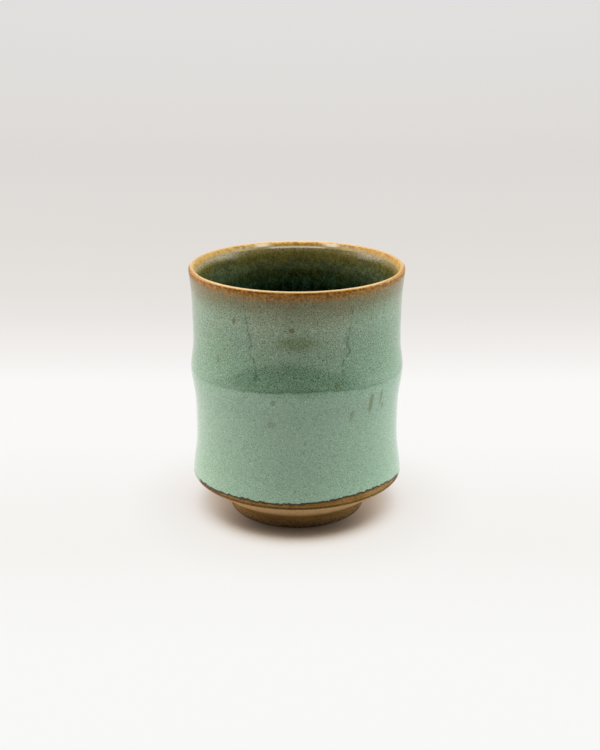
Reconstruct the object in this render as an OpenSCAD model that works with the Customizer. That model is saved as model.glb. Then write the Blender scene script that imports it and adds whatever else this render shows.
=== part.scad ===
// Yunomi: a tall tea cup without a handle, thrown in stoneware, with a swollen
// ring like the node of a bamboo cane, a trimmed crease and a ring foot.
// The origin is the centre of the foot's base and +Z points up.
// Every piece is a turned outline, and pieces that touch share its points.

/* [Overall] */
// Height from the table to the top of the lip
cup_h = 93.1; // [85:0.1:110]
// Diameter across the rim, over the glaze
rim_d = 78; // [74:0.1:86]

/* [Wall outline] */
// How far the plain wall, without its swells, leans out from the crease to the lip
wall_lean = 0.8; // [0:0.1:3]
// How far the lip flares out of the plain wall
lip_flare = 0.7; // [0:0.1:2]
// How far the node ring swells out of the plain wall
node_swell = 1.3; // [0.5:0.05:4]
// Height of the node ring's crest above the table
node_z = 55.4; // [40:0.1:65]
// Height over which the node ring fades out below its crest
node_fade_below = 7.6; // [4:0.1:12]
// Height over which the node ring fades out above its crest
node_fade_above = 6.7; // [4:0.1:12]
// How far the glazed hip swells out of the plain wall, measured at the crease
hip_swell = 1.85; // [0:0.05:4]
// Height over which the hip fades out above the crease
hip_fade = 9.7; // [5:0.1:14]
// Height over which the flare of the lip fades out below it
lip_fade = 6.5; // [4:0.1:12]

/* [Underside and foot] */
// Height of the trimmed crease under the hip
crease_h = 14.3; // [13:0.1:18]
// How far the bare clay at the crease stands out of the plain wall
crease_swell = 2.05; // [1:0.05:4]
// Radius of the rounded edge of the crease
crease_round = 0.5; // [0.2:0.1:1]
// Width of the fine groove turned above the crease
groove_w = 0.5; // [0.3:0.1:0.8]
// Depth of the groove
groove_deep = 0.25; // [0.1:0.05:0.4]
// Height of the groove's middle above the crease
groove_up = 1; // [0.9:0.1:1.5]
// Outer diameter of the foot ring
foot_d = 51.2; // [44:0.1:58]
// Width of the foot ring, from its outer to its inner wall
foot_w = 4.6; // [3:0.1:7]
// Depth of the hollow inside the foot ring
recess_h = 5; // [4.5:0.1:6.5]
// Height at which the sloping underside would meet the foot's wall
neck_h = 4.1; // [3.5:0.1:6]
// Radius of the hollow curve between the foot and the underside
neck_round = 4.5; // [2:0.1:6]
// Radius of the foot's edges on the table
foot_edge_round = 0.7; // [0.3:0.1:1]

/* [Inside] */
// Thickness of the finished wall at the lip
lip_t = 2.8; // [2.2:0.1:3.5]
// Thickness of the finished wall below the lip
wall_t = 3.8; // [3.2:0.1:5]
// Height over which the wall thickens below the lip
thicken_h = 22; // [12:1:30]
// Thickness of the clay floor above the foot's hollow
floor_t = 5.2; // [4:0.1:7]
// Radius of the curve from the floor to the wall
bowl_round = 13; // [8:0.5:18]

/* [Lip and glaze] */
// Height of the rounded top of the lip
lip_h = 0.9; // [0.8:0.1:1.6]
// Height of the amber band over the lip
rim_band_h = 2.2; // [1.8:0.1:6]
// Thickness of the outer glaze
glaze_t = 0.4; // [0.2:0.05:0.6]
// Thickness of the liner glaze
liner_t = 0.4; // [0.2:0.05:0.7]
// Height of the bare clay band between the crease and the glaze
clay_band_h = 2.6; // [2:0.1:6]

/* [Hidden] */

// Steps along the walls, the curves and the edges, and around the cup
wall_steps = 48;
curve_steps = 12;
edge_steps = 5;
turn_steps = 180;

// Heights that follow from the sizes above
lip_z = cup_h - lip_h;
band_z = cup_h - rim_band_h;
glaze_z = crease_h + clay_band_h;
groove_z = crease_h + groove_up;
floor_z = recess_h + floor_t;
bowl_z = floor_z + bowl_round;

// Radii of the foot that follow from the sizes above
foot_r = foot_d / 2;
recess_r = foot_r - foot_w;

// Bell curve that is 1 at its middle and fades over the given height
function bell(z, middle, fade) = exp(-pow((z - middle) / fade, 2));

// Radius of the plain wall, a slight cone
function plain_r(z) = rim_d / 2 - lip_flare - wall_lean * (lip_z - z) / (lip_z - crease_h);

// Radius of the plain wall with its flared lip and its node ring, inside and out
function thrown_r(z) =
    plain_r(z) + lip_flare * bell(z, lip_z, lip_fade)
    + node_swell * bell(z, node_z, z < node_z ? node_fade_below : node_fade_above);

// Radius over the outer glaze, with the hip, and of the clay under it
function glaze_r(z) = thrown_r(z) + hip_swell * bell(z, crease_h, hip_fade);
function clay_r(z) = glaze_r(z) - glaze_t;

// Thickness of the finished wall, which thins evenly towards the lip
function finished_t(z) = wall_t - (wall_t - lip_t) * max(0, 1 - (lip_z - z) / thicken_h);

// Radius of the finished inside, which follows the node ring but not the hip,
// and of the clay under the liner glaze
function liner_r(z) = thrown_r(z) - finished_t(z);
function inner_r(z) = liner_r(z) + liner_t;

// Radius of the bare clay band between the crease and the glaze
crease_r = plain_r(crease_h) + crease_swell;
function band_r(z) = crease_r + (clay_r(glaze_z) - crease_r) * (z - crease_h) / clay_band_h;

// The sloping underside runs from the crease towards the foot's wall, and a
// hollow curve leads from one to the other
slope = atan2(crease_h - neck_h, crease_r - foot_r);
curve_low_z = neck_h - neck_round * tan((90 - slope) / 2);
curve_top_z = curve_low_z + neck_round * cos(slope);

// Radius of the foot's wall, the hollow curve or the slope, whichever is there
function under_r(z) =
    z < curve_low_z ? foot_r
    : z < curve_top_z ? foot_r + neck_round - sqrt(pow(neck_round, 2) - pow(z - curve_low_z, 2))
    : foot_r + (z - neck_h) / tan(slope);

// Evenly spread heights from the first to the last, without the last one itself
function heights(first, last, steps) =
    [for (i = [0:steps - 1]) first + (last - first) * i / steps];

// A list of points the other way round
function backwards(points) = [for (i = [len(points) - 1:-1:0]) points[i]];

// Arc that rounds the corner b of the path from a over b to c
function rounded(a, b, c, radius) =
    let (
        to_a = (a - b) / norm(a - b),
        to_c = (c - b) / norm(c - b),
        half = acos(to_a * to_c) / 2,
        centre = b + (to_a + to_c) / norm(to_a + to_c) * radius / sin(half),
        first = b + to_a * radius / tan(half) - centre,
        last = b + to_c * radius / tan(half) - centre,
        turn = atan2(first[0] * last[1] - first[1] * last[0], first * last)
    )
    [for (i = [0:edge_steps])
        let (angle = turn * i / edge_steps)
        centre + [first[0] * cos(angle) - first[1] * sin(angle),
                  first[0] * sin(angle) + first[1] * cos(angle)]];

// Half ellipse over the lip, from the outer to the inner radius
function lip_curve(outer, inner, height) =
    [for (i = [0:curve_steps])
        let (angle = 180 * i / curve_steps)
        [(outer + inner) / 2 + (outer - inner) / 2 * cos(angle), lip_z + height * sin(angle)]];

// Inside of the cup from the amber band down to the middle of the floor, with
// the glaze that lies on it
function inside(coat) =
    concat(
        [for (z = heights(band_z, bowl_z, wall_steps)) [inner_r(z) - coat, z]],
        [for (i = [0:curve_steps])
            let (angle = 90 * i / curve_steps)
            [inner_r(bowl_z) - bowl_round + (bowl_round - coat) * cos(angle),
             bowl_z - (bowl_round - coat) * sin(angle)]],
        [[0, floor_z + coat]]
    );

// Turns an outline once around the cup's axis
module turned(outline) rotate_extrude($fn = turn_steps) polygon(outline);

// Wall and floor of fired clay, from the foot's seat to the lip
module clay_body() {
    groove_low_z = groove_z - groove_w / 2;
    groove_top_z = groove_z + groove_w / 2;
    color([0.47, 0.35, 0.20])
        turned(concat(
            [[0, recess_h]],
            [for (z = heights(recess_h, crease_h, curve_steps)) [under_r(z), z]],
            rounded([foot_r, neck_h], [crease_r, crease_h],
                    [band_r(groove_low_z), groove_low_z], crease_round),
            [[band_r(groove_low_z), groove_low_z],
             [band_r(groove_z) - groove_deep, groove_z],
             [band_r(groove_top_z), groove_top_z]],
            [for (z = heights(glaze_z, band_z, wall_steps)) [clay_r(z), z]],
            [[clay_r(band_z), band_z]],
            lip_curve(clay_r(lip_z), inner_r(lip_z), lip_h - glaze_t),
            inside(0)
        ));
}

// Ring foot luted under the body, with the hollow curve up to its seat
module foot_ring() {
    color([0.40, 0.29, 0.16])
        turned(concat(
            [[recess_r, recess_h]],
            rounded([recess_r, recess_h], [recess_r, 0], [foot_r, 0], foot_edge_round),
            rounded([recess_r, 0], [under_r(0), 0],
                    [under_r(foot_edge_round), foot_edge_round], foot_edge_round),
            [for (z = heights(2 * foot_edge_round, recess_h, curve_steps)) [under_r(z), z]],
            [[under_r(recess_h), recess_h]]
        ));
}

// Green glaze outside, from the glaze line up to the amber band
module outer_glaze() {
    coat_heights = heights(glaze_z, band_z, wall_steps);
    coat = [for (z = coat_heights) [glaze_r(z), z]];
    color([0.52, 0.66, 0.56])
        turned(concat(
            [[clay_r(band_z), band_z]],
            backwards([for (z = coat_heights) [clay_r(z), z]]),
            rounded([clay_r(glaze_z), glaze_z], coat[0], coat[1], glaze_t / 2),
            [for (i = [1:wall_steps - 1]) coat[i]],
            [[glaze_r(band_z), band_z]]
        ));
}

// Liner glaze inside, from the amber band down over the floor
module inner_glaze() {
    color([0.36, 0.42, 0.32])
        turned(concat(inside(0), backwards(inside(liner_t))));
}

// Amber glaze band that wraps the lip
module rim_glaze() {
    color([0.76, 0.52, 0.20])
        turned(concat(
            [[glaze_r(band_z), band_z]],
            lip_curve(glaze_r(lip_z), liner_r(lip_z), lip_h),
            [[liner_r(band_z), band_z],
             [inner_r(band_z), band_z]],
            backwards(lip_curve(clay_r(lip_z), inner_r(lip_z), lip_h - glaze_t)),
            [[clay_r(band_z), band_z]]
        ));
}

clay_body();
foot_ring();
outer_glaze();
inner_glaze();
rim_glaze();
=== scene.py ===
import math

import bmesh
import bpy
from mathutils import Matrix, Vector


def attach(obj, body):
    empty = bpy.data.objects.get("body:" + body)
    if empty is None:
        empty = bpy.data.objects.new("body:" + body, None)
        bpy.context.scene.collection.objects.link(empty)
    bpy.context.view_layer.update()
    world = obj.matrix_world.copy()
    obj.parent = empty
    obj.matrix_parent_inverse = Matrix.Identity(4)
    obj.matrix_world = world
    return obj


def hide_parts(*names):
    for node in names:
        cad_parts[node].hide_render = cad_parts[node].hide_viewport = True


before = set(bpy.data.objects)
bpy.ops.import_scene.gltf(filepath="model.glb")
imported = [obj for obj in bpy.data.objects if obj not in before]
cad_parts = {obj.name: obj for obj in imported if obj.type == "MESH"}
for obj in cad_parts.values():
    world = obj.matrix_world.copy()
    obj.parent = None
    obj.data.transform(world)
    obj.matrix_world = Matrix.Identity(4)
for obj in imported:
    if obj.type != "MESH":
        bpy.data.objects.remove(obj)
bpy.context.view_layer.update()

MM = 0.001

# The cup's outline, in millimetres, as the frame has it
CUP_HEIGHT = 93.1
RIM_RADIUS = 39.0
WALL_LEAN = 0.8
LIP_FLARE = 0.7
NODE_SWELL = 1.3
NODE_HEIGHT = 55.4
NODE_FADE_BELOW = 7.6
NODE_FADE_ABOVE = 6.7
HIP_SWELL = 1.85
HIP_FADE = 9.7
LIP_FADE = 6.5
CREASE_HEIGHT = 14.3
CREASE_SWELL = 2.05
CREASE_ROUND = 0.5
GROOVE_WIDTH = 0.5
GROOVE_DEPTH = 0.25
FOOT_RADIUS = 25.6
FOOT_WIDTH = 4.6
HOLLOW_DEPTH = 5.0
NECK_HEIGHT = 4.1
NECK_ROUND = 4.5
FOOT_EDGE_ROUND = 0.7
LIP_THICKNESS = 2.8
WALL_THICKNESS = 3.8
THICKEN_HEIGHT = 22.0
FLOOR_THICKNESS = 5.2
BOWL_ROUND = 13.0
LIP_HEIGHT = 0.9
RIM_BAND = 2.2
GLAZE = 0.4
CLAY_BAND = 2.6

# Only in the scene: where the groove sits over the crease, and the lip eased inside
GROOVE_UP = 0.65
LIP_EASE = 1.1
LIP_EASE_FADE = 1.7

LIP_Z = CUP_HEIGHT - LIP_HEIGHT
BAND_Z = CUP_HEIGHT - RIM_BAND
GLAZE_Z = CREASE_HEIGHT + CLAY_BAND
GROOVE_Z = CREASE_HEIGHT + GROOVE_UP
FLOOR_Z = HOLLOW_DEPTH + FLOOR_THICKNESS
BOWL_Z = FLOOR_Z + BOWL_ROUND
CREASE_RADIUS = RIM_RADIUS - LIP_FLARE - WALL_LEAN + CREASE_SWELL
SLOPE = math.atan2(CREASE_HEIGHT - NECK_HEIGHT, CREASE_RADIUS - FOOT_RADIUS)
NECK_LOW_Z = NECK_HEIGHT - NECK_ROUND * math.tan((math.pi / 2 - SLOPE) / 2)
NECK_TOP_Z = NECK_LOW_Z + NECK_ROUND * math.cos(SLOPE)

# Colour by distance back and up from the cup, in metres: the dim room in front of the table,
# the white table and the grey backdrop
BACKDROP = ((-0.40, (0.08, 0.075, 0.07, 1.0)), (-0.30, (0.22, 0.215, 0.21, 1.0)),
            (-0.22, (0.62, 0.61, 0.60, 1.0)), (-0.16, (0.96, 0.96, 0.955, 1.0)),
            (-0.10, (0.96, 0.96, 0.955, 1.0)), (-0.04, (0.93, 0.92, 0.895, 1.0)),
            (0.0, (0.94, 0.93, 0.91, 1.0)), (0.05, (0.965, 0.96, 0.945, 1.0)),
            (0.13, (0.97, 0.965, 0.95, 1.0)),
            (0.19, (0.885, 0.86, 0.84, 1.0)), (0.25, (0.82, 0.79, 0.765, 1.0)),
            (0.31, (0.785, 0.755, 0.725, 1.0)), (0.47, (0.755, 0.725, 0.695, 1.0)),
            (0.95, (0.75, 0.72, 0.70, 1.0)), (1.3, (0.775, 0.765, 0.75, 1.0)))

# Tint of the table by how open it lies, from deep under the cup to the open: in front of the
# cup and behind it, and at its sides, where it is lighter
SHADOW = ((0.205, (0.028, 0.018, 0.01, 1.0)), (0.245, (0.065, 0.044, 0.028, 1.0)),
          (0.28, (0.092, 0.062, 0.038, 1.0)), (0.322, (0.13, 0.09, 0.06, 1.0)),
          (0.361, (0.30, 0.24, 0.18, 1.0)), (0.409, (0.55, 0.475, 0.395, 1.0)),
          (0.455, (0.69, 0.635, 0.577, 1.0)), (0.497, (0.81, 0.76, 0.715, 1.0)),
          (0.59, (0.925, 0.89, 0.86, 1.0)), (0.68, (0.965, 0.945, 0.93, 1.0)),
          (1.0, (1.0, 1.0, 1.0, 1.0)))
SIDE_SHADOW = ((0.20, (0.34, 0.25, 0.18, 1.0)), (0.245, (0.40, 0.30, 0.235, 1.0)),
               (0.29, (0.47, 0.38, 0.30, 1.0)), (0.35, (0.56, 0.465, 0.38, 1.0)),
               (0.425, (0.66, 0.59, 0.53, 1.0)), (0.55, (0.855, 0.81, 0.775, 1.0)),
               (0.65, (0.915, 0.88, 0.86, 1.0)), (0.8, (0.955, 0.94, 0.925, 1.0)),
               (1.0, (1.0, 1.0, 1.0, 1.0)))
# How far the shadow looks for the cup, in metres
SHADOW_REACH = 0.032
# Share of what the camera sees of the table that is painted on and not lit by the lamps
TABLE_GLOW = 0.93
TABLE_COLOUR = (0.56, 0.55, 0.54, 1.0)

# Colour of the painted highlight inside the lip, where the glaze also breaks paler over the edge
PALE_BREAK_HIGHLIGHT = (0.98, 0.85, 0.62, 1.0)

# How finely the turned pieces are made: steps round, then outline steps in millimetres for
# clay that shows, for glaze that shows and for what is flat or hidden
STEPS_ROUND = 540
FINE = 0.5
GLAZE_STEP = 0.7
COARSE = 3.0
ROUNDING_STEPS = 8
LIP_STEPS = 26
# The fewest steps of the bowl's curve, and its length for each millimetre of its radius
BOWL_STEPS = 8
BOWL_CURVE = 1.6
# Height over the glaze line up to which the hidden faces stay fine
EDGE_ZONE = 4
SHARP_ANGLE = 50

# Unevenness of the cup, in millimetres, and how far it is drawn in to keep to its size
WOBBLE = 0.18
THROWING_RIPPLE = 0.08
TURNING_LINES = 0.10
LINE_SPACING = 0.9
INWARD = 0.09

# Lower edge of the green glaze, in millimetres: waves, each with its crest in degrees, how
# often it comes round and its size, how far they drop and the lowest they reach
EDGE_WAVES = ((17, 2.0, 1.22), (46, 4.0, 0.54))
EDGE_DROP = 1.25
EDGE_LOWEST = -1.8
EDGE_TEETH = 2.8
# Change of the wall's radius for each millimetre of rise, under the glaze line and over it
LEAN_UNDER = -0.12
LEAN_OVER = -0.085

# Radius at which the materials measure arcs round the wall, in millimetres
ARC_RADIUS = 38.5
GREEN_GLOSS = 0.14
CLAY_MATT = 0.62

# Camera: focal length and sensor in millimetres, place in metres, and degrees below level
LENS = 52.55
SENSOR = 36.0
CAMERA_PLACE = (0.00116, -0.385, 0.1873)
CAMERA_DOWN = 19.54


def bell(height, middle, fade):
    return math.exp(-((height - middle) / fade) ** 2)


def plain_radius(height):
    lean = (LIP_Z - height) / (LIP_Z - CREASE_HEIGHT)
    return RIM_RADIUS - LIP_FLARE - WALL_LEAN * lean


def thrown_radius(height):
    fade = NODE_FADE_BELOW if height < NODE_HEIGHT else NODE_FADE_ABOVE
    node = NODE_SWELL * bell(height, NODE_HEIGHT, fade)
    return plain_radius(height) + node + LIP_FLARE * bell(height, LIP_Z, LIP_FADE)


def glaze_radius(height):
    return thrown_radius(height) + HIP_SWELL * bell(height, CREASE_HEIGHT, HIP_FADE)


def clay_radius(height):
    return glaze_radius(height) - GLAZE


def eased(height):
    """How far a finger eased the inside of the lip outwards."""
    return LIP_EASE * math.exp((height - CUP_HEIGHT) / LIP_EASE_FADE)


def liner_radius(height):
    thinning = max(0.0, 1 - (LIP_Z - height) / THICKEN_HEIGHT)
    wall = WALL_THICKNESS - (WALL_THICKNESS - LIP_THICKNESS) * thinning
    return thrown_radius(height) - wall + eased(height)


def inner_radius(height):
    return liner_radius(height) + GLAZE


def band_radius(height):
    """Bare clay between the crease and the glaze."""
    rise = (height - CREASE_HEIGHT) / CLAY_BAND
    return CREASE_RADIUS + (clay_radius(GLAZE_Z) - CREASE_RADIUS) * rise


def underside_radius(height):
    """The foot's wall, the hollow curve over it or the slope up to the crease."""
    if height < NECK_LOW_Z:
        return FOOT_RADIUS
    if height < NECK_TOP_Z:
        side = NECK_ROUND ** 2 - (height - NECK_LOW_Z) ** 2
        return FOOT_RADIUS + NECK_ROUND - math.sqrt(side)
    return FOOT_RADIUS + (height - NECK_HEIGHT) / math.tan(SLOPE)


def run(radius, first, last, step):
    """Outline points from one height up or down to another, without the last."""
    count = max(1, round(abs(last - first) / step))
    heights = [first + (last - first) * i / count for i in range(count)]
    return [(radius(height), height) for height in heights]


def straight(a, b, step):
    """Outline points on the straight line from a to b, without b."""
    count = max(1, round(math.dist(a, b) / step))
    return [(a[0] + (b[0] - a[0]) * i / count, a[1] + (b[1] - a[1]) * i / count)
            for i in range(count)]


def rounded(a, b, c, radius):
    """Arc that rounds the corner b of the outline from a over b to c."""
    away, on = math.dist(a, b), math.dist(c, b)
    to_a = ((a[0] - b[0]) / away, (a[1] - b[1]) / away)
    to_c = ((c[0] - b[0]) / on, (c[1] - b[1]) / on)
    half = math.acos(to_a[0] * to_c[0] + to_a[1] * to_c[1]) / 2
    middle = (to_a[0] + to_c[0], to_a[1] + to_c[1])
    size = math.hypot(*middle)
    reach = radius / math.sin(half)
    centre = (b[0] + middle[0] / size * reach, b[1] + middle[1] / size * reach)
    side = radius / math.tan(half)
    first = (b[0] + to_a[0] * side - centre[0], b[1] + to_a[1] * side - centre[1])
    last = (b[0] + to_c[0] * side - centre[0], b[1] + to_c[1] * side - centre[1])
    turn = math.atan2(first[0] * last[1] - first[1] * last[0],
                      first[0] * last[0] + first[1] * last[1])
    points = []
    for i in range(ROUNDING_STEPS + 1):
        angle = turn * i / ROUNDING_STEPS
        points.append((centre[0] + first[0] * math.cos(angle) - first[1] * math.sin(angle),
                       centre[1] + first[0] * math.sin(angle) + first[1] * math.cos(angle)))
    return points


def lip_curve(outer, inner, height):
    """Half ellipse over the lip, from the outer to the inner radius, eased inside."""
    inner -= eased(LIP_Z)
    points = []
    for i in range(LIP_STEPS + 1):
        angle = math.pi * i / LIP_STEPS
        z = LIP_Z + height * math.sin(angle)
        inward = (1 - math.cos(angle)) / 2
        points.append((outer - (outer - inner) * inward + eased(z) * inward, z))
    return points


def inside(coat, step):
    """Inside of the cup from the amber band down to the middle of the floor."""
    points = run(lambda height: inner_radius(height) - coat, BAND_Z, BOWL_Z, step)
    middle, radius = inner_radius(BOWL_Z) - BOWL_ROUND, BOWL_ROUND - coat
    turns = max(BOWL_STEPS, round(BOWL_ROUND * BOWL_CURVE / step))
    for i in range(turns + 1):
        angle = math.pi / 2 * i / turns
        points.append((middle + radius * math.cos(angle), BOWL_Z - radius * math.sin(angle)))
    floor = (0, FLOOR_Z + coat)
    return points[:-1] + straight(points[-1], floor, 2 * step) + [floor]


def clay_body_outline():
    groove_low, groove_top = GROOVE_Z - GROOVE_WIDTH / 2, GROOVE_Z + GROOVE_WIDTH / 2
    seat = (underside_radius(HOLLOW_DEPTH), HOLLOW_DEPTH)
    crease = rounded((FOOT_RADIUS, NECK_HEIGHT), (CREASE_RADIUS, CREASE_HEIGHT),
                     (band_radius(groove_low), groove_low), CREASE_ROUND)
    under = [p for p in run(underside_radius, HOLLOW_DEPTH, CREASE_HEIGHT, FINE / 2)
             if p[0] < crease[0][0] - FINE / 4]
    groove = [(band_radius(groove_low), groove_low),
              (band_radius(GROOVE_Z) - 0.8 * GROOVE_DEPTH, GROOVE_Z - GROOVE_WIDTH / 8),
              (band_radius(GROOVE_Z) - GROOVE_DEPTH, GROOVE_Z),
              (band_radius(GROOVE_Z) - 0.8 * GROOVE_DEPTH, GROOVE_Z + GROOVE_WIDTH / 8)]
    return (straight((0, HOLLOW_DEPTH), seat, 2 * COARSE) + under + crease
            + straight(crease[-1], groove[0], FINE / 4)[1:] + groove
            + straight((band_radius(groove_top), groove_top),
                       (clay_radius(GLAZE_Z), GLAZE_Z), FINE / 2)
            + run(clay_radius, GLAZE_Z, GLAZE_Z + EDGE_ZONE, FINE)
            + run(clay_radius, GLAZE_Z + EDGE_ZONE, BAND_Z, COARSE)
            + [(clay_radius(BAND_Z), BAND_Z)]
            + lip_curve(clay_radius(LIP_Z), inner_radius(LIP_Z), LIP_HEIGHT - GLAZE)
            + inside(0, COARSE))


def foot_ring_outline():
    recess = FOOT_RADIUS - FOOT_WIDTH
    seat = (underside_radius(HOLLOW_DEPTH), HOLLOW_DEPTH)
    inner_edge = rounded((recess, HOLLOW_DEPTH), (recess, 0), (FOOT_RADIUS, 0), FOOT_EDGE_ROUND)
    outer_edge = rounded((recess, 0), (FOOT_RADIUS, 0), (FOOT_RADIUS, 1), FOOT_EDGE_ROUND)
    return (straight((recess, HOLLOW_DEPTH), inner_edge[0], FINE) + inner_edge[:-1]
            + straight(inner_edge[-1], outer_edge[0], FINE) + outer_edge
            + run(underside_radius, 1.0, HOLLOW_DEPTH, FINE / 3)
            + straight(seat, (recess, HOLLOW_DEPTH), COARSE) + [(recess, HOLLOW_DEPTH)])


def outer_glaze_outline():
    start = (glaze_radius(GLAZE_Z), GLAZE_Z)
    edge = rounded((clay_radius(GLAZE_Z), GLAZE_Z), start,
                   (glaze_radius(GLAZE_Z + 1), GLAZE_Z + 1), 0.5 * GLAZE)
    outside = [p for p in run(glaze_radius, GLAZE_Z, BAND_Z, GLAZE_STEP) if p[1] > edge[-1][1] + 0.1]
    back = (run(clay_radius, BAND_Z, GLAZE_Z + EDGE_ZONE, COARSE)
            + run(clay_radius, GLAZE_Z + EDGE_ZONE, GLAZE_Z, FINE))
    return back + edge + outside + [(glaze_radius(BAND_Z), BAND_Z), back[0]]


def inner_glaze_outline():
    return inside(0, COARSE) + inside(GLAZE, GLAZE_STEP)[::-1] + [inside(0, COARSE)[0]]


def rim_glaze_outline():
    under = lip_curve(clay_radius(LIP_Z), inner_radius(LIP_Z), LIP_HEIGHT - GLAZE)
    return (run(glaze_radius, BAND_Z, LIP_Z, FINE / 2)
            + lip_curve(glaze_radius(LIP_Z), liner_radius(LIP_Z), LIP_HEIGHT)[:-1]
            + run(liner_radius, LIP_Z, BAND_Z, FINE / 2)
            + [(liner_radius(BAND_Z), BAND_Z), (inner_radius(BAND_Z), BAND_Z)]
            + under[::-1] + [(clay_radius(BAND_Z), BAND_Z), (glaze_radius(BAND_Z), BAND_Z)])


class Bench:
    """Adds nodes to one tree. An input takes a plain value or another node's output."""

    def __init__(self, tree):
        self.tree = tree

    def feed(self, socket, value):
        if isinstance(value, bpy.types.NodeSocket):
            self.tree.links.new(value, socket)
        else:
            socket.default_value = value

    def add(self, kind, inputs=None, **settings):
        node = self.tree.nodes.new(kind)
        for name, value in settings.items():
            setattr(node, name, value)
        for name, value in (inputs or {}).items():
            self.feed(node.inputs[name], value)
        return node

    def math(self, operation, a, b=0.0, clamp=False):
        node = self.add("ShaderNodeMath", {0: a, 1: b}, operation=operation, use_clamp=clamp)
        return node.outputs[0]

    def plus(self, a, b):
        return self.math("ADD", a, b)

    def minus(self, a, b):
        return self.math("SUBTRACT", a, b)

    def times(self, a, b):
        return self.math("MULTIPLY", a, b)

    def point(self, x, y, z):
        return self.add("ShaderNodeCombineXYZ", {0: x, 1: y, 2: z}).outputs[0]

    def split(self, vector):
        return self.add("ShaderNodeSeparateXYZ", {0: vector}).outputs

    def ramp(self, value, low, high, to_low=0.0, to_high=1.0):
        """Smooth step from one value to another."""
        node = self.add("ShaderNodeMapRange", interpolation_type="SMOOTHSTEP",
                        inputs={"Value": value, "From Min": low, "From Max": high,
                                "To Min": to_low, "To Max": to_high})
        return node.outputs["Result"]

    def noise(self, vector, scale, detail=2.0, roughness=0.5, seed=0.0):
        node = self.add("ShaderNodeTexNoise", noise_dimensions="4D",
                        inputs={"Vector": vector, "W": seed, "Scale": scale, "Detail": detail,
                                "Roughness": roughness})
        return node.outputs[0]

    def sway(self, reach, vector, scale, detail=2.0, roughness=0.5, seed=0.0):
        """Noise around zero, times its reach."""
        return self.times(self.minus(self.noise(vector, scale, detail, roughness, seed), 0.5), reach)

    def mixed(self, share, a, b):
        """Colour a turning into colour b."""
        node = self.add("ShaderNodeMix", {0: share, 6: a, 7: b}, data_type="RGBA")
        return node.outputs[2]

    def bands(self, value, stops):
        """Colour by a value, through (value, colour) stops."""
        low, high = stops[0][0], stops[-1][0]
        share = self.math("DIVIDE", self.minus(value, low), high - low, clamp=True)
        node = self.add("ShaderNodeValToRGB", {"Fac": share})
        ramp = node.color_ramp
        while len(ramp.elements) < len(stops):
            ramp.elements.new(0.5)
        for element, (at, tint) in zip(ramp.elements, stops):
            element.position = (at - low) / (high - low)
            element.color = tint
        return node.outputs["Color"]

    def scaled(self, vector, factor):
        """The colour made brighter or darker, or the vector longer or shorter."""
        return self.add("ShaderNodeVectorMath", {0: vector, "Scale": factor},
                        operation="SCALE").outputs[0]

    def bell(self, value, middle, width):
        """Bell curve around a middle value."""
        off = self.math("DIVIDE", self.minus(value, middle), width)
        return self.math("EXPONENT", self.times(self.times(off, off), -1.0))


FLOAT, VECTOR = "NodeSocketFloat", "NodeSocketVector"


def new_tree(name, kind, inputs, outputs):
    """Empty node group with inputs {name: (type, default)} and outputs {name: type}."""
    tree = bpy.data.node_groups.new(name, kind)
    sockets = {}
    for name, (socket_type, default) in inputs.items():
        socket = tree.interface.new_socket(name, in_out="INPUT", socket_type=socket_type)
        if default is not None:
            socket.default_value = default
        sockets[name] = socket.identifier
    for name, socket_type in outputs.items():
        tree.interface.new_socket(name, in_out="OUTPUT", socket_type=socket_type)
    bench = Bench(tree)
    entry = bench.add("NodeGroupInput")
    leave = bench.add("NodeGroupOutput")
    return tree, bench, entry.outputs, leave.inputs, sockets


def unevenness(bench, given, across, ahead, height, along):
    """How far out the surface lies: wobble, throwing ripple and turning lines, less the inset."""
    seed = given["Seed"]
    wobble = bench.sway(given["Wobble"], bench.point(across, ahead, bench.times(height, 18.0)),
                        0.9, 1.0, seed=seed)
    ripple = bench.sway(given["Throwing ripple"],
                        bench.point(bench.times(across, 0.35), bench.times(ahead, 0.35),
                                    bench.times(height, 210.0)),
                        1.0, 1.0, seed=bench.plus(seed, 5.0))
    lines = bench.sway(given["Turning lines"],
                       bench.point(bench.times(across, 0.2), bench.times(ahead, 0.2),
                                   bench.math("DIVIDE", along, given["Line spacing"])),
                       1.0, 2.0, seed=bench.plus(seed, 9.0))
    return bench.minus(bench.plus(bench.plus(wobble, ripple), lines), given["Inward"])


def edge_rise(bench, given, angle, across, ahead, above):
    """The glaze's lower edge: a slow wave, and small teeth where the glaze stopped running."""
    waves = [bench.times(bench.math("COSINE", bench.times(
        bench.minus(angle, math.radians(crest)), often)), size) for crest, often, size in EDGE_WAVES]
    wave = bench.math("MAXIMUM", bench.minus(bench.plus(*waves), EDGE_DROP), EDGE_LOWEST)
    wave = bench.times(wave, given["Edge wave"])
    teeth = bench.sway(given["Edge teeth"], bench.point(across, ahead, 0.0), 22.0, 4.0, 0.7,
                       seed=bench.plus(given["Seed"], 14.0))
    return bench.plus(bench.times(wave, bench.ramp(above, 0.0, 6 * MM, 1.0, 0.0)),
                      bench.times(teeth, bench.ramp(above, 0.2 * MM, 1.5 * MM, 1.0, 0.0)))


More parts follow.
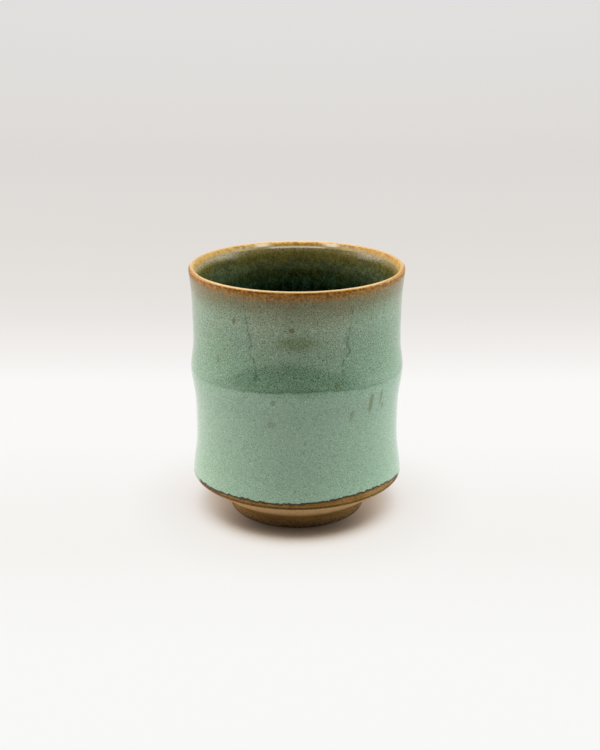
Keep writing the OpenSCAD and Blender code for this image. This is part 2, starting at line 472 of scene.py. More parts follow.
def turned_tree():
    """Turns an outline round the cup's axis, with the slight unevenness of a thrown cup."""
    tree, bench, given, made, sockets = new_tree(
        "Turned on the wheel", "GeometryNodeTree",
        {"Outline": ("NodeSocketGeometry", None),
         "Steps round": ("NodeSocketInt", STEPS_ROUND),
         "Wobble": (FLOAT, 0.0),
         "Inward": (FLOAT, 0.0),
         "Throwing ripple": (FLOAT, 0.0),
         "Turning lines": (FLOAT, 0.0),
         "Line spacing": (FLOAT, 0.001),
         "Edge wave": (FLOAT, 0.0),
         "Edge teeth": (FLOAT, 0.0),
         "Seed": (FLOAT, 3.0),
         "Finish": ("NodeSocketMaterial", None)},
        {"Piece": "NodeSocketGeometry"})
    count = bench.add("GeometryNodeAttributeDomainSize", {0: given["Outline"]}, component="MESH")
    count = count.outputs["Point Count"]
    # A sheet with a column for each step round and a row for each outline point
    round_size = bench.plus(given["Steps round"], 0.0)
    outline_size = bench.minus(count, 1.0)
    sheet = bench.add("GeometryNodeMeshGrid", {
        "Size X": round_size, "Size Y": outline_size,
        "Vertices X": bench.plus(given["Steps round"], 1.0), "Vertices Y": count})
    at = bench.split(bench.add("GeometryNodeInputPosition").outputs[0])
    turn = bench.math("DIVIDE", bench.plus(at[0], bench.math("DIVIDE", round_size, 2.0)), round_size)
    angle = bench.times(turn, 2 * math.pi)
    index = bench.math("ROUND", bench.plus(at[1], bench.math("DIVIDE", outline_size, 2.0)))

    def sampled(value, data_type):
        node = bench.add("GeometryNodeSampleIndex", data_type=data_type, domain="POINT", clamp=True)
        bench.feed(node.inputs["Geometry"], given["Outline"])
        bench.feed(node.inputs["Value"], value)
        bench.feed(node.inputs["Index"], index)
        return node.outputs[0]

    def mark(name):
        node = bench.add("GeometryNodeInputNamedAttribute", {"Name": name}, data_type="FLOAT")
        return sampled(node.outputs["Attribute"], "FLOAT")

    place = bench.split(sampled(bench.add("GeometryNodeInputPosition").outputs[0], "FLOAT_VECTOR"))
    radius, height = place[0], place[2]
    above, along = mark("above_edge"), mark("along")
    across, ahead = bench.math("SINE", angle), bench.math("COSINE", angle)
    # The middle of the floor stays even
    out = bench.times(unevenness(bench, given, across, ahead, height, along),
                      bench.ramp(radius, 0.0, 12 * MM))
    rise = edge_rise(bench, given, angle, across, ahead, above)
    lean = bench.plus(bench.times(bench.math("MINIMUM", rise, 0.0), LEAN_UNDER),
                      bench.times(bench.math("MAXIMUM", rise, 0.0), LEAN_OVER))
    full = bench.plus(bench.plus(radius, out), lean)
    here = bench.point(bench.times(full, across), bench.times(bench.times(full, ahead), -1.0),
                       bench.plus(height, rise))

    piece = bench.add("GeometryNodeStoreNamedAttribute", {
        "Geometry": sheet.outputs["Mesh"], "Name": "above_edge", "Value": above},
        data_type="FLOAT", domain="POINT")
    piece = bench.add("GeometryNodeSetPosition", {"Geometry": piece.outputs[0], "Position": here})
    piece = bench.add("GeometryNodeMergeByDistance", {"Geometry": piece.outputs[0], "Distance": 1e-6})
    piece = bench.add("GeometryNodeSetShadeSmooth", {"Geometry": piece.outputs[0]})
    piece = bench.add("GeometryNodeRealizeInstances", {"Geometry": piece.outputs[0]})
    piece = bench.add("GeometryNodeSetMaterial", {
        "Geometry": piece.outputs[0], "Material": given["Finish"]})
    bench.feed(made["Piece"], piece.outputs[0])
    return tree, sockets


def placed(name, data):
    """New object in the scene."""
    thing = bpy.data.objects.new(name, data)
    bpy.context.scene.collection.objects.link(thing)
    return thing


def outline_object(name, outline, above_from):
    """The outline as a chain of edges, with its length so far and its height over the edge."""
    points = [(r * MM, 0.0, z * MM) for r, z in outline]
    mesh = bpy.data.meshes.new(name + "_outline")
    mesh.from_pydata(points, [(i, i + 1) for i in range(len(points) - 1)], [])
    along, above, gone = [], [], 0.0
    for i, point in enumerate(points):
        gone += math.dist(point, points[i - 1]) if i else 0.0
        along.append(gone)
        above.append(1.0 if above_from is None else max(0.0, point[2] - above_from * MM))
    for mark, numbers in (("along", along), ("above_edge", above)):
        attribute = mesh.attributes.new(mark, "FLOAT", "POINT")
        attribute.data.foreach_set("value", numbers)
    return placed(name + "_outline", mesh)


def turned_piece(name, outline, tree, sockets, values, finish, above_from):
    """Makes one piece of the cup as a plain closed mesh from its outline in millimetres."""
    pattern = outline_object(name, outline, above_from)
    turning = pattern.modifiers.new("Turned", "NODES")
    turning.node_group = tree
    for label, value in values.items():
        turning[sockets[label]] = value
    turning[sockets["Finish"]] = finish
    graph = bpy.context.evaluated_depsgraph_get()
    plain = bpy.data.meshes.new_from_object(pattern.evaluated_get(graph), depsgraph=graph)
    bpy.data.objects.remove(pattern)
    shell = bmesh.new()
    shell.from_mesh(plain)
    bmesh.ops.dissolve_degenerate(shell, dist=1e-7, edges=shell.edges)
    bmesh.ops.recalc_face_normals(shell, faces=shell.faces)
    if shell.calc_volume(signed=True) < 0:
        bmesh.ops.reverse_faces(shell, faces=shell.faces)
    shell.to_mesh(plain)
    shell.free()
    plain.set_sharp_from_angle(angle=math.radians(SHARP_ANGLE))
    plain.name = name
    return placed(name, plain)


def around_group():
    """Where a point lies on the wall, in millimetres, with its arc to the right of the front."""
    tree, bench, given, made, _ = new_tree(
        "Around the wall", "ShaderNodeTree",
        {"Position": (VECTOR, None)},
        {"Arc": FLOAT, "Height": FLOAT, "Radius": FLOAT,
         "Wall": VECTOR})
    x, y, z = bench.split(given["Position"])
    angle = bench.math("ARCTAN2", x, bench.times(y, -1.0))
    radius = bench.math("SQRT", bench.plus(bench.times(x, x), bench.times(y, y)))
    bench.feed(made["Arc"], bench.times(angle, ARC_RADIUS))
    bench.feed(made["Height"], bench.times(z, 1 / MM))
    bench.feed(made["Radius"], bench.times(radius, 1 / MM))
    bench.feed(made["Wall"], bench.scaled(given["Position"], 1 / MM))
    return tree


def speckle_group():
    """Fine dark and pale flecks in a surface. Size is in millimetres."""
    tree, bench, given, made, _ = new_tree(
        "Speckle", "ShaderNodeTree",
        {"Wall": (VECTOR, None), "Size": (FLOAT, 0.5),
         "Fullness": (FLOAT, 0.5), "Seed": (FLOAT, 0.0)},
        {"Dark": FLOAT, "Pale": FLOAT})
    scale = bench.math("DIVIDE", 1.0, given["Size"])
    fleck = bench.noise(given["Wall"], scale, 1.5, 0.6, seed=given["Seed"])
    # The fuller the speckle, the lower the level of noise at which a fleck shows
    level = bench.minus(0.62, bench.times(given["Fullness"], 0.24))
    bench.feed(made["Dark"], bench.ramp(fleck, level, bench.plus(level, 0.16)))
    other = bench.noise(given["Wall"], bench.times(scale, 0.8), 1.0, 0.6,
                        seed=bench.plus(given["Seed"], 7.0))
    bench.feed(made["Pale"], bench.ramp(other, level, bench.plus(level, 0.2)))
    return tree


def thin_glaze_group():
    """Where the glaze under the lip has run thin and brown, in blotches, and its tone."""
    tree, bench, given, made, _ = new_tree(
        "Thin glaze", "ShaderNodeTree",
        {"Wall": (VECTOR, None), "Arc": (FLOAT, 0.0),
         "Height": (FLOAT, 0.0)},
        {"Brown": FLOAT, "Tone": "NodeSocketColor"})
    wall = given["Wall"]
    dip = bench.times(bench.bell(given["Arc"], 0.0, 22.0), 1.1)
    limit = bench.plus(bench.minus(91.0, dip), bench.sway(1.6, wall, 0.12, 1.0, seed=26.0))
    level = bench.plus(given["Height"], bench.sway(4.2, wall, 0.75, 3.0, 0.65, seed=15.0))
    bench.feed(made["Brown"], bench.ramp(level, bench.minus(limit, 1.8), bench.plus(limit, 1.3)))
    mottle = bench.ramp(bench.noise(wall, 1.0, 3.0, 0.6, seed=6.0), 0.36, 0.64)
    bench.feed(made["Tone"], bench.mixed(mottle, colour(112, 77, 28), colour(164, 120, 58)))
    return tree


def side_run_group():
    """Where the glaze ran down over the crease, at the cup's two sides."""
    tree, bench, given, made, _ = new_tree(
        "Side run", "ShaderNodeTree",
        {"Arc": (FLOAT, 0.0)}, {"Run": FLOAT})
    off = bench.math("ABSOLUTE", bench.minus(given["Arc"], 2.5))
    start = bench.ramp(off, 45.0, 49.5)
    bench.feed(made["Run"], bench.times(start, bench.ramp(off, 68.0, 75.0, 1.0, 0.0)))
    return tree


def pale_break_highlight_group():
    """Painted highlight inside the lip at the back, with bright ends, where the glaze also breaks paler.
    """
    tree, bench, given, made, _ = new_tree(
        "Pale break highlight", "ShaderNodeTree",
        {"Arc": (FLOAT, 0.0), "Height": (FLOAT, 0.0)},
        {"Pale": FLOAT})
    away = bench.math("ABSOLUTE", given["Arc"])
    line = bench.times(bench.bell(given["Height"], 91.05, 0.36), bench.ramp(away, 106.0, 112.5))
    # Painted highlight: brighter at the two ends of the line
    ends = bench.times(bench.bell(away, 106.5, 3.0), bench.ramp(given["Height"], 91.4, 91.85))
    both = bench.math("MAXIMUM", line, bench.times(ends, 1.35))
    bench.feed(made["Pale"], bench.math("MINIMUM", both, 1.0))
    return tree


def blot_group():
    """A soft-edged blot at a place on the wall, as a drip, a spot or a stain leaves it."""
    tree, bench, given, made, _ = new_tree(
        "Blot", "ShaderNodeTree",
        {"Arc": (FLOAT, 0.0), "Height": (FLOAT, 0.0),
         "At arc": (FLOAT, 0.0), "At height": (FLOAT, 50.0),
         "Half width": (FLOAT, 1.0), "Half height": (FLOAT, 1.0),
         "Slant": (FLOAT, 0.0), "Ragged": (FLOAT, 1.24),
         "Strength": (FLOAT, 1.0)},
        {"Blot": FLOAT})
    up = bench.minus(given["Height"], given["At height"])
    over = bench.minus(bench.minus(given["Arc"], given["At arc"]), bench.times(up, given["Slant"]))
    a = bench.math("DIVIDE", over, given["Half width"])
    b = bench.math("DIVIDE", up, given["Half height"])
    far = bench.math("SQRT", bench.plus(bench.times(a, a), bench.times(b, b)))
    spot = bench.point(given["Arc"], given["Height"], given["At arc"])
    far = bench.plus(far, bench.sway(given["Ragged"], spot, 1.1, 3.0))
    bench.feed(made["Blot"], bench.times(bench.ramp(far, 0.55, 1.25, 1.0, 0.0), given["Strength"]))
    return tree


def colour(red, green, blue):
    """Screen colour, 0 to 255, as the linear colour that nodes take."""
    def linear(value):
        value = value / 255
        return value / 12.92 if value <= 0.04045 else ((value + 0.055) / 1.055) ** 2.4
    return (linear(red), linear(green), linear(blue), 1.0)


class Finish(Bench):
    """One material with a Principled shader, and where its surface lies on the cup."""

    def __init__(self, name, groups, roughness, ior=1.5, specular=0.5):
        self.material = bpy.data.materials.new(name)
        self.material.use_nodes = True
        super().__init__(self.material.node_tree)
        self.shader = self.tree.nodes["Principled BSDF"]
        self.shader.inputs["Roughness"].default_value = roughness
        self.shader.inputs["IOR"].default_value = ior
        self.shader.inputs["Specular IOR Level"].default_value = specular
        self.groups = groups
        around = self.group("around", {"Position": self.add("ShaderNodeTexCoord").outputs["Object"]})
        self.arc, self.height = around["Arc"], around["Height"]
        self.radius, self.wall = around["Radius"], around["Wall"]
        self.away = self.math("ABSOLUTE", self.arc)

    def group(self, name, inputs):
        node = self.add("ShaderNodeGroup", node_tree=self.groups[name])
        for label, value in inputs.items():
            self.feed(node.inputs[label], value)
        return node.outputs

    def wrapped(self, value, half):
        """The value brought into one repeat, from minus half to half."""
        return self.add("ShaderNodeMath", {0: value, 1: half, 2: -half}, operation="WRAP").outputs[0]

    def thin_glaze(self):
        return self.group("thin_glaze", {"Wall": self.wall, "Arc": self.arc, "Height": self.height})

    def pale_break_highlight(self):
        return self.group("pale_break_highlight", {"Arc": self.arc, "Height": self.height})["Pale"]

    def side_run(self):
        return self.group("side_run", {"Arc": self.arc})["Run"]

    def speckle(self, size, fullness, seed):
        return self.group("speckle", {"Wall": self.wall, "Size": size, "Fullness": fullness,
                                      "Seed": seed})

    def colour_by(self, base):
        self.feed(self.shader.inputs["Base Color"], base)

    def roughness_by(self, value):
        self.feed(self.shader.inputs["Roughness"], value)

    def relief(self, height, distance, strength):
        """Bumps in the surface. Their distance is in millimetres."""
        node = self.add("ShaderNodeBump", {"Height": height, "Distance": distance * MM,
                                           "Strength": strength})
        self.feed(self.shader.inputs["Normal"], node.outputs["Normal"])


def between_tongues(f, base, turn):
    """The upper pour came down in tongues. Between them the glaze is greener, behind a seam."""
    sway = f.sway(1.6, f.point(f.arc, f.height, 0.0), 0.35, 2.0, seed=4.0)
    side = f.math("ABSOLUTE", f.plus(turn, sway))
    width = f.plus(f.ramp(f.height, 62.0, 88.0, 15.2, 19.0),
                   f.times(f.bell(f.height, 71.0, 1.9), 1.8))
    beyond = f.minus(side, width)
    upper = f.times(f.ramp(f.height, 57.0, 62.0), f.ramp(f.height, 82.0, 89.0, 1.0, 0.0))
    tongue = f.ramp(beyond, -2.5, 1.5, 1.0, 0.0)
    base = f.mixed(f.times(f.minus(1.0, tongue), f.times(upper, 0.42)), base, colour(110, 144, 118))
    seam = f.times(f.bell(beyond, 0.0, 0.5), upper)
    seam = f.times(seam, f.ramp(f.noise(f.wall, 0.5, 2.0, seed=8.0), 0.34, 0.6))
    return f.mixed(f.times(seam, 0.64), base, colour(64, 84, 50))


def pool_over_ring(f, base, turn):
    """The pool over the ring: arched above, and ending in a line just over the crest."""
    wave = f.sway(1.6, f.point(f.arc, 0.0, 0.0), 0.14, 2.0, seed=6.0)
    line = f.plus(f.plus(55.9, f.times(f.bell(turn, 2.0, 26.0), 2.0)), wave)
    arch = f.times(f.bell(turn, -5.0, 22.0), 10.5)
    uneven = f.sway(3.6, f.wall, 0.28, 3.0, seed=11.0)
    under_top = f.ramp(f.minus(f.plus(f.plus(line, arch), uneven), f.height), -1.3, 1.3)
    over_line = f.ramp(f.minus(f.height, line), -0.45, 0.45)
    pool = f.times(under_top, over_line)
    deep = f.times(pool, f.plus(0.12, f.times(f.bell(turn, -2.0, 21.0), 0.21)))
    base = f.mixed(deep, base, colour(68, 108, 76))
    rim_line = f.times(f.bell(f.minus(f.height, line), 0.35, 0.5),
                       f.plus(0.03, f.times(f.bell(turn, 0.0, 27.0), 0.36)))
    base = f.mixed(rim_line, base, colour(64, 94, 64))
    below = f.times(f.minus(1.0, over_line), f.ramp(f.height, 48.0, 56.0))
    return f.mixed(f.times(below, 0.25), base, colour(146, 176, 152)), pool


def marked(f, base):
    """Stains, spots and drips: arc, height, half width, half height, slant, strength, tint."""
    brown, olive, pale_olive = colour(92, 80, 44), colour(92, 102, 52), colour(108, 118, 74)
    for at, up, half_w, half_h, slant, strength, tint in (
            (0.2, 74.9, 7.4, 2.9, 0.0, 0.5, olive), (-22.6, 81.2, 0.8, 1.4, 0.0, 0.7, brown),
            (-1.6, 79.7, 1.0, 1.0, 0.0, 0.75, brown), (-30.5, 66.0, 0.8, 1.9, 0.05, 0.5, olive),
            (-29.1, 76.1, 0.9, 1.2, 0.0, 0.3, olive), (-7.9, 54.0, 1.0, 1.0, 0.0, 0.5, olive),
            (-9.0, 45.6, 1.5, 1.4, 0.0, 0.4, pale_olive), (13.7, 59.4, 0.8, 1.3, 0.0, 0.6, olive),
            (28.2, 50.5, 1.1, 4.4, 0.03, 0.7, pale_olive), (33.4, 51.8, 0.8, 3.0, 0.06, 0.7, pale_olive),
            (34.9, 47.9, 0.8, 1.5, 0.0, 0.6, pale_olive), (20.1, 47.4, 0.9, 2.0, 0.15, 0.55, pale_olive),
            (-70.0, 70.0, 1.0, 1.3, 0.0, 0.7, brown), (-88.0, 49.0, 0.8, 2.6, 0.03, 0.6, olive),
            (74.0, 78.0, 1.1, 1.0, 0.0, 0.7, brown), (96.0, 51.0, 0.7, 3.2, -0.03, 0.6, olive),
            (-52.0, 50.0, 0.8, 1.0, 0.0, 0.4, olive), (60.0, 44.0, 0.7, 0.9, 0.0, 0.4, olive),
            (112.0, 72.0, 4.5, 2.2, 0.0, 0.5, olive), (-108.0, 76.0, 5.0, 2.4, 0.0, 0.5, olive)):
        blot = f.group("blot", {"Arc": f.arc, "Height": f.height, "At arc": at, "At height": up,
                                "Half width": half_w, "Half height": half_h, "Slant": slant,
                                "Strength": strength})["Blot"]
        base = f.mixed(blot, base, tint)
    return base


def green_glaze(groups):
    """Green glaze: brown where it is thin under the lip, dark where it pools over the ring."""
    f = Finish("green_glaze", groups, GREEN_GLOSS)
    base = f.bands(f.plus(f.height, f.sway(4.8, f.wall, 0.09, 2.0, seed=2.0)), [
        (16.0, colour(144, 176, 150)), (24.0, colour(138, 168, 143)), (40.0, colour(138, 167, 143)),
        (53.0, colour(134, 163, 141)), (57.0, colour(126, 156, 131)), (66.0, colour(122, 150, 122)),
        (74.0, colour(126, 148, 122)), (80.0, colour(136, 153, 128)), (84.0, colour(124, 134, 106)),
        (87.0, colour(112, 113, 80)), (91.0, colour(116, 106, 66))])
    turn = f.wrapped(f.minus(f.arc, 0.9), 40.3)
    base = between_tongues(f, base, turn)
    base, pool = pool_over_ring(f, base, turn)
    base = marked(f, base)
    # Brown halo under the lip
    thin = f.thin_glaze()
    base = f.mixed(thin["Brown"], base, thin["Tone"])
    # Speckle, fuller in the upper half and fullest in the pool
    fuller = f.plus(f.ramp(f.height, 52.0, 66.0, 0.5, 0.6), f.times(pool, 0.1))
    fleck = f.speckle(0.34, fuller, 1.0)
    dust = f.speckle(0.32, 0.55, 21.0)
    lighter = f.plus(1.0, f.times(dust["Pale"], f.ramp(f.height, 52.0, 64.0, 0.4, 0.62)))
    darker = f.minus(1.0, f.times(fleck["Dark"], f.ramp(f.height, 52.0, 62.0, 0.5, 0.62)))
    base = f.scaled(base, f.times(lighter, darker))
    # Dark line where the glaze ends on the clay, but not where it ran over the crease
    above = f.times(f.add("ShaderNodeAttribute", attribute_name="above_edge").outputs["Fac"], 1 / MM)
    bite = f.sway(1.3, f.wall, 0.8, 2.0, seed=17.0)
    edge = f.ramp(f.plus(above, bite), 0.6, 0.85, 1.0, 0.0)
    edge = f.times(edge, f.minus(1.0, f.side_run()))
    f.colour_by(f.mixed(edge, base, colour(52, 36, 4)))
    f.roughness_by(f.plus(GREEN_GLOSS, f.times(edge, 0.4)))
    f.relief(f.noise(f.wall, 0.45, 2.0, seed=30.0), 0.05, 0.5)
    return f.material


def liner_glaze(groups):
    """Olive near the lip, deep green below, runs; painted shade deep down, painted light on the flanks.
    """
    f = Finish("liner_glaze", groups, 0.16, specular=0.3)
    runs = f.sway(3.6, f.point(f.arc, f.times(f.height, 0.12), 0.0), 0.42, 3.0, 0.6, seed=3.0)
    clouds = f.sway(4.0, f.wall, 0.16, 3.0, 0.6, seed=5.0)
    rings = f.point(f.times(f.arc, 0.012), f.times(f.height, 0.55), 0.0)
    rings = f.sway(3.0, rings, 1.0, 2.0, seed=19.0)
    shift = f.times(f.plus(f.plus(runs, clouds), rings), f.ramp(f.height, 88.5, 90.6, 1.0, 0.0))
    # Colour by height; the near black about 72 to 76 mm up is painted shade over the glaze's deep green
    base = f.bands(f.plus(f.height, shift), [
        (10.0, colour(64, 98, 70)), (30.0, colour(54, 88, 60)), (62.0, colour(26, 52, 30)),
        (71.5, colour(6, 17, 4)), (75.5, colour(12, 30, 10)), (77.9, colour(34, 54, 30)),
        (80.0, colour(43, 52, 20)), (82.0, colour(54, 60, 22)), (83.6, colour(82, 88, 54)),
        (85.2, colour(90, 92, 50)), (87.2, colour(99, 93, 34)), (88.6, colour(115, 104, 36)),
        (90.0, colour(138, 128, 72)), (91.0, colour(150, 136, 84))])
    # Painted highlight inside the lip at the back, over the paler glaze break
    base = f.mixed(f.pale_break_highlight(), base, PALE_BREAK_HIGHLIGHT)
    # Cloudy green bloom over the runs
    bloom = f.noise(f.point(f.arc, f.times(f.height, 0.5), 0.0), 0.3, 4.0, 0.65, seed=27.0)
    lower = f.times(f.ramp(f.height, 70.0, 78.0), f.ramp(f.height, 84.0, 89.0, 1.0, 0.0))
    bloom = f.times(f.ramp(bloom, 0.46, 0.68), lower)
    base = f.mixed(f.times(bloom, 0.62), base, colour(62, 90, 70))
    # Painted light from the side lamps on the flanks, and a painted highlight just inside the lip at the
    # left end
    lit_side = f.times(f.ramp(f.away, 86.0, 107.0, 1.0, 0.0), f.ramp(f.height, 78.0, 83.0))
    lit_side = f.times(lit_side, f.minus(0.6, f.times(f.bell(f.arc, 67.0, 9.0), 0.3)))
    lit_side_height = f.minus(f.height, f.times(f.bell(f.away, 89.0, 12.0), 0.7))
    base = f.mixed(lit_side, base, f.bands(lit_side_height, [
        (84.0, colour(84, 98, 70)), (86.2, colour(84, 92, 60)), (87.8, colour(90, 88, 52)),
        (88.6, colour(126, 118, 76)), (89.4, colour(158, 146, 104)), (90.9, colour(176, 160, 112))]))
    left_end_highlight = f.times(f.bell(f.arc, -64.0, 9.0), f.ramp(f.height, 89.0, 90.6))
    base = f.mixed(f.times(left_end_highlight, 0.6), base, colour(214, 196, 150))
    # Speckle and patches, weaker near the lip
    fleck = f.speckle(0.42, 0.52, 41.0)
    patches = f.ramp(f.noise(f.wall, 0.62, 3.0, 0.65, seed=28.0), 0.36, 0.64, 0.62, 1.3)
    patches = f.plus(1.0, f.times(f.minus(patches, 1.0), f.ramp(f.height, 86.0, 90.0, 1.0, 0.3)))
    base = f.scaled(base, f.times(patches, f.minus(1.0, f.times(fleck["Dark"], 0.72))))
    pale = f.times(fleck["Pale"], f.ramp(f.height, 75.0, 80.0, 0.12, 0.42))
    f.colour_by(f.mixed(pale, base, colour(84, 104, 66)))
    f.roughness_by(f.ramp(f.height, 87.5, 90.8, 0.13, 0.26))
    f.relief(f.noise(f.wall, 0.4, 2.0, seed=31.0), 0.05, 0.5)
    return f.material


def over_lip(f, sway):
    """Amber inside, a crest of painted highlight on thin cream glaze, amber outside, by radius."""
    # The crest is narrower towards both ends of the rim
    narrow = f.times(f.bell(f.away, 50.0, 13.0), 0.42)
    over = f.bands(f.plus(f.plus(f.radius, sway), narrow), [
        (36.6, colour(198, 154, 68)), (36.95, colour(206, 160, 80)), (37.25, colour(222, 180, 112)),
        (37.7, colour(230, 198, 146)), (38.3, colour(236, 208, 156)), (38.55, colour(244, 214, 160)),
        (38.75, colour(186, 130, 52)), (39.0, colour(146, 96, 30))])
    # Painted highlight: duller towards the ends, most of all at the right, and brighter inside at the
    # back
    over = f.mixed(f.times(f.bell(f.away, 45.0, 13.0), 0.4), over, colour(206, 158, 86))
    over = f.mixed(f.times(f.bell(f.arc, 46.0, 13.0), 0.4), over, colour(196, 146, 62))
    over = f.scaled(over, f.minus(1.0, f.times(f.bell(f.away, 66.0, 22.0), 0.14)))
    back = f.times(f.bell(f.away, 121.0, 24.0), f.ramp(f.radius, 37.5, 38.3, 0.3, 0.0))
    return f.scaled(over, f.plus(1.0, back))


def amber_glaze(groups):
    """Amber where the glaze runs thin over the lip, with a row of iron dots outside it."""
    f = Finish("amber_glaze", groups, 0.42, ior=1.4, specular=0.15)
    sway = f.sway(0.24, f.wall, 0.4, 2.0, seed=25.0)
    height = f.plus(f.height, sway)
    over = over_lip(f, sway)
    inner_face = f.bands(height, [
        (90.9, colour(160, 148, 100)), (91.3, colour(174, 154, 98)), (91.7, colour(190, 156, 82)),
        (92.2, colour(202, 162, 72))])
    # Painted reflection of the side lamps, pale on the inner face at both sides of the back
    inner_face = f.mixed(f.times(f.bell(f.away, 98.0, 7.0), 0.7), inner_face, colour(206, 190, 146))
    inner = f.ramp(f.radius, 36.9, 37.3, 1.0, 0.0)
    over = f.mixed(f.times(inner, f.ramp(f.height, 92.2, 92.6, 1.0, 0.0)), over, inner_face)
    mottle = f.ramp(f.noise(f.wall, 0.75, 3.0, 0.6, seed=24.0), 0.44, 0.6)
    spots = f.times(mottle, f.ramp(f.radius, 37.2, 37.6, 1.0, 0.0))
    spots = f.times(spots, f.ramp(f.height, 91.2, 92.0, 0.2, 0.6))
    over = f.mixed(spots, over, colour(138, 92, 26))
    # The outer face goes on with the brown halo of the green glaze under it
    thin = f.thin_glaze()
    outer_face = f.mixed(thin["Brown"], colour(116, 106, 66), thin["Tone"])
    outer = f.ramp(f.radius, 37.9, 38.3)
    base = f.mixed(f.times(outer, f.ramp(height, 92.25, 92.6, 1.0, 0.0)), over, outer_face)
    dots = f.ramp(f.noise(f.wall, 1.1, 2.0, 0.6, seed=12.0), 0.42, 0.54)
    row = f.times(f.bell(height, 92.36, 0.3), outer)
    base = f.mixed(f.times(f.times(dots, row), 0.95), base, colour(86, 46, 4))
    # Painted highlight inside the lip at the back, over the paler glaze break
    f.colour_by(f.mixed(f.times(f.pale_break_highlight(), inner), base, PALE_BREAK_HIGHLIGHT))
    f.relief(f.noise(f.wall, 0.6, 2.0, seed=32.0), 0.04, 0.5)
    return f.material


def bare_clay(name, groups, tint, dark, pale):
    """Bare stoneware, with fine lines from turning, grit and a little shine from the fire."""
    f = Finish(name, groups, CLAY_MATT, specular=0.22)
    along = f.plus(f.height, f.times(f.radius, 0.6))
    turned = f.noise(f.point(f.times(f.arc, 0.012), along, 0.0), 2.6, 3.0, 0.7, seed=2.0)
    clouds = f.noise(f.wall, 0.12, 3.0, seed=9.0)
    base = f.mixed(f.ramp(turned, 0.38, 0.64, 0.0, 0.75), tint, dark)
    base = f.mixed(f.ramp(clouds, 0.35, 0.7, 0.0, 0.45), base, pale)
    # Painted light on the slope under the crease, painted shade in the groove and down the foot
    slope = f.times(f.ramp(f.height, 5.5, 10.5), f.ramp(f.height, 14.1, 14.6, 1.0, 0.0))
    base = f.mixed(slope, base, colour(200, 162, 110))
    # Painted shade in the groove over the crease
    base = f.mixed(f.times(f.bell(f.height, 14.78, 0.26), 0.8), base, colour(50, 34, 8))
    # Painted shade down the foot, darkest at its base by the table and less at the sides
    low = f.times(f.ramp(f.height, 0.2, 5.4, 0.94, 0.0), f.ramp(f.away, 22.0, 50.0, 1.0, 0.72))
    base = f.mixed(low, base, colour(40, 25, 4))
    grit = f.speckle(0.4, 0.5, 51.0)
    base = f.scaled(base, f.minus(1.0, f.times(grit["Dark"], 0.5)))
    base = f.mixed(f.times(grit["Pale"], 0.35), base, pale)
    # Painted light from the side lamps: the foot and the slope under the crease lighter at the sides
    lit_side = f.times(f.ramp(f.away, 8.0, 36.0), f.ramp(f.height, 12.5, 13.8, 0.26, 0.0))
    base = f.scaled(base, f.plus(1.0, lit_side))
    # Green glaze where it ran over the crease
    run_over = f.times(f.side_run(), f.ramp(f.height, 14.25, 14.5))
    f.colour_by(f.mixed(run_over, base, colour(138, 168, 143)))
    f.roughness_by(f.minus(CLAY_MATT, f.times(run_over, 0.46)))
    grain = f.plus(f.times(turned, 0.7), f.times(f.noise(f.wall, 3.0, 2.0, seed=33.0), 0.3))
    f.relief(grain, 0.12, 0.6)
    return f.material


def stage_material():
    """White table that rises into a slightly grey backdrop, and keeps the cup's shadow."""
    material = bpy.data.materials.new("table_and_backdrop")
    material.use_nodes = True
    bench = Bench(material.node_tree)
    material.node_tree.nodes.remove(material.node_tree.nodes["Principled BSDF"])
    leave = material.node_tree.nodes["Material Output"]
    x, y, z = bench.split(bench.add("ShaderNodeTexCoord").outputs["Object"])
    paint = bench.bands(bench.plus(y, z), BACKDROP)
    near = bench.add("ShaderNodeAmbientOcclusion", {"Distance": SHADOW_REACH}, samples=32)
    share = bench.math("DIVIDE", bench.times(x, x), bench.plus(bench.times(x, x), bench.times(y, y)))
    shade = bench.mixed(bench.times(share, share), bench.bands(near.outputs["AO"], SHADOW),
                        bench.bands(near.outputs["AO"], SIDE_SHADOW))
    glow = bench.add("ShaderNodeMix", {0: 1.0, 6: paint, 7: shade},
                     data_type="RGBA", blend_type="MULTIPLY").outputs[2]
    lit = bench.add("ShaderNodeBsdfDiffuse", {"Color": TABLE_COLOUR})
    seen = bench.add("ShaderNodeEmission", {"Color": glow, "Strength": 1.0})
    path = bench.add("ShaderNodeLightPath").outputs
    direct = bench.math("MAXIMUM", path["Is Camera Ray"], path["Is Glossy Ray"])
    both = bench.add("ShaderNodeMixShader", {
        0: bench.times(direct, TABLE_GLOW), 1: lit.outputs[0], 2: seen.outputs[0]})
    bench.feed(leave.inputs["Surface"], both.outputs[0])
    return material


def make_stage():
    """Table top and backdrop as one swept sheet."""
    front, back, bend, top, half = -0.9, 0.9, 0.3, 0.9, 1.6
    table_steps, bend_steps, wall_steps, columns = 36, 24, 12, 12
    rows = [(front + (back - front) * i / table_steps, 0.0) for i in range(table_steps)]
    rows += [(back + bend * math.sin(math.pi / 2 * i / bend_steps),
              bend - bend * math.cos(math.pi / 2 * i / bend_steps)) for i in range(bend_steps + 1)]
    rows += [(back + bend, bend + (top - bend) * i / wall_steps) for i in range(1, wall_steps + 1)]
    points = [(-half + 2 * half * c / columns, y, z) for y, z in rows for c in range(columns + 1)]
    width = columns + 1
    faces = [(r * width + c, r * width + c + 1, (r + 1) * width + c + 1, (r + 1) * width + c)
             for r in range(len(rows) - 1) for c in range(columns)]
    mesh = bpy.data.meshes.new("table_and_backdrop")
    mesh.from_pydata(points, [], faces)
    for face in mesh.polygons:
        face.use_smooth = True
    stage = placed("table_and_backdrop", mesh)
    stage.data.materials.append(stage_material())


def lamp(name, place, aim, width, height, brightness, tint):
    """Flat lamp that faces the aim. Brightness is that of its face, where 1 is white."""
    data = bpy.data.lights.new(name, "AREA")
    data.shape = "RECTANGLE"
    data.size, data.size_y = width, height
    data.energy = brightness * math.pi * width * height
    data.color = tint
    thing = placed(name, data)
    thing.location = place
    toward = Vector(aim) - Vector(place)
    thing.rotation_euler = toward.to_track_quat("-Z", "Y").to_euler()


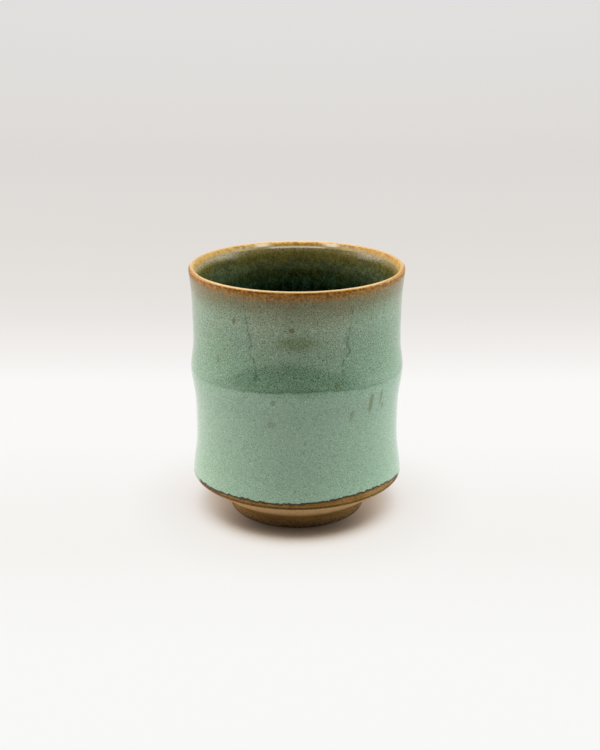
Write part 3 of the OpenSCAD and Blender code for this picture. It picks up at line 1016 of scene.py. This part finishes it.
def make_light():
    """Dim even room light, soft lamps overhead and in front, and a brighter one at each side."""
    world = bpy.data.worlds.new("Room")
    world.use_nodes = True
    bpy.context.scene.world = world
    background = world.node_tree.nodes["Background"]
    background.inputs["Color"].default_value = (1.0, 0.985, 0.965, 1.0)
    background.inputs["Strength"].default_value = 0.25
    plain = (1.0, 0.99, 0.975)
    lamp("Overhead lamp", (0.0, 0.15, 1.1), (0.0, 0.0, 0.0), 1.2, 1.2, 0.8, plain)
    lamp("Left lamp", (-0.78, 0.2, 0.30), (0.0, 0.0, 0.05), 0.8, 0.6, 6.7, (1.0, 0.91, 0.90))
    lamp("Right lamp", (0.78, 0.2, 0.30), (0.0, 0.0, 0.05), 0.8, 0.6, 5.5, (0.98, 1.0, 1.0))
    lamp("Front lamp", (0.0, -0.62, 0.72), (0.0, 0.0, 0.09), 1.7, 0.8, 0.75, plain)


def make_camera():
    data = bpy.data.cameras.new("Camera")
    data.lens = LENS
    data.sensor_width = SENSOR
    camera = placed("Camera", data)
    camera.location = CAMERA_PLACE
    camera.rotation_euler = (math.radians(90 - CAMERA_DOWN), 0.0, 0.0)
    bpy.context.scene.camera = camera


def make_cup():
    groups = {"around": around_group(), "speckle": speckle_group(), "blot": blot_group(),
              "thin_glaze": thin_glaze_group(), "pale_break_highlight": pale_break_highlight_group(),
              "side_run": side_run_group()}
    clay = bare_clay("stoneware", groups, colour(144, 104, 40), colour(100, 70, 24),
                     colour(168, 128, 62))
    # The foot ring's stoneware is a darker copy of the same clay, as painted shade
    foot = bare_clay("foot_stoneware", groups, colour(128, 96, 44), colour(90, 64, 26),
                     colour(154, 120, 64))
    tree, sockets = turned_tree()
    shared = {"Wobble": WOBBLE * MM, "Inward": INWARD * MM, "Throwing ripple": THROWING_RIPPLE * MM}
    trimmed = {"Turning lines": TURNING_LINES * MM, "Line spacing": LINE_SPACING * MM}
    pieces = (
        ("thrown_clay_body", clay_body_outline(), clay, "clay_body", "stoneware",
         {**shared, **trimmed}, None),
        ("trimmed_foot_ring", foot_ring_outline(), foot, "foot_ring", "foot_stoneware",
         {**shared, **trimmed, "Throwing ripple": 0.0}, None),
        ("green_glaze_coat", outer_glaze_outline(), green_glaze(groups), "outer_glaze",
         "green_glaze", {**shared, "Edge wave": 1.0 * MM, "Edge teeth": EDGE_TEETH * MM}, GLAZE_Z),
        ("liner_glaze_coat", inner_glaze_outline(), liner_glaze(groups), "inner_glaze",
         "liner_glaze", shared, None),
        ("amber_glaze_band", rim_glaze_outline(), amber_glaze(groups), "rim_glaze",
         "amber_glaze", shared, None))
    for name, outline, finish, node, slot, values, above_from in pieces:
        piece = turned_piece(name, outline, tree, sockets, values, finish, above_from)
        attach(piece, "root")
        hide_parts(node)


make_camera()
make_cup()
make_stage()
make_light()
bpy.context.scene.view_settings.view_transform = "Standard"
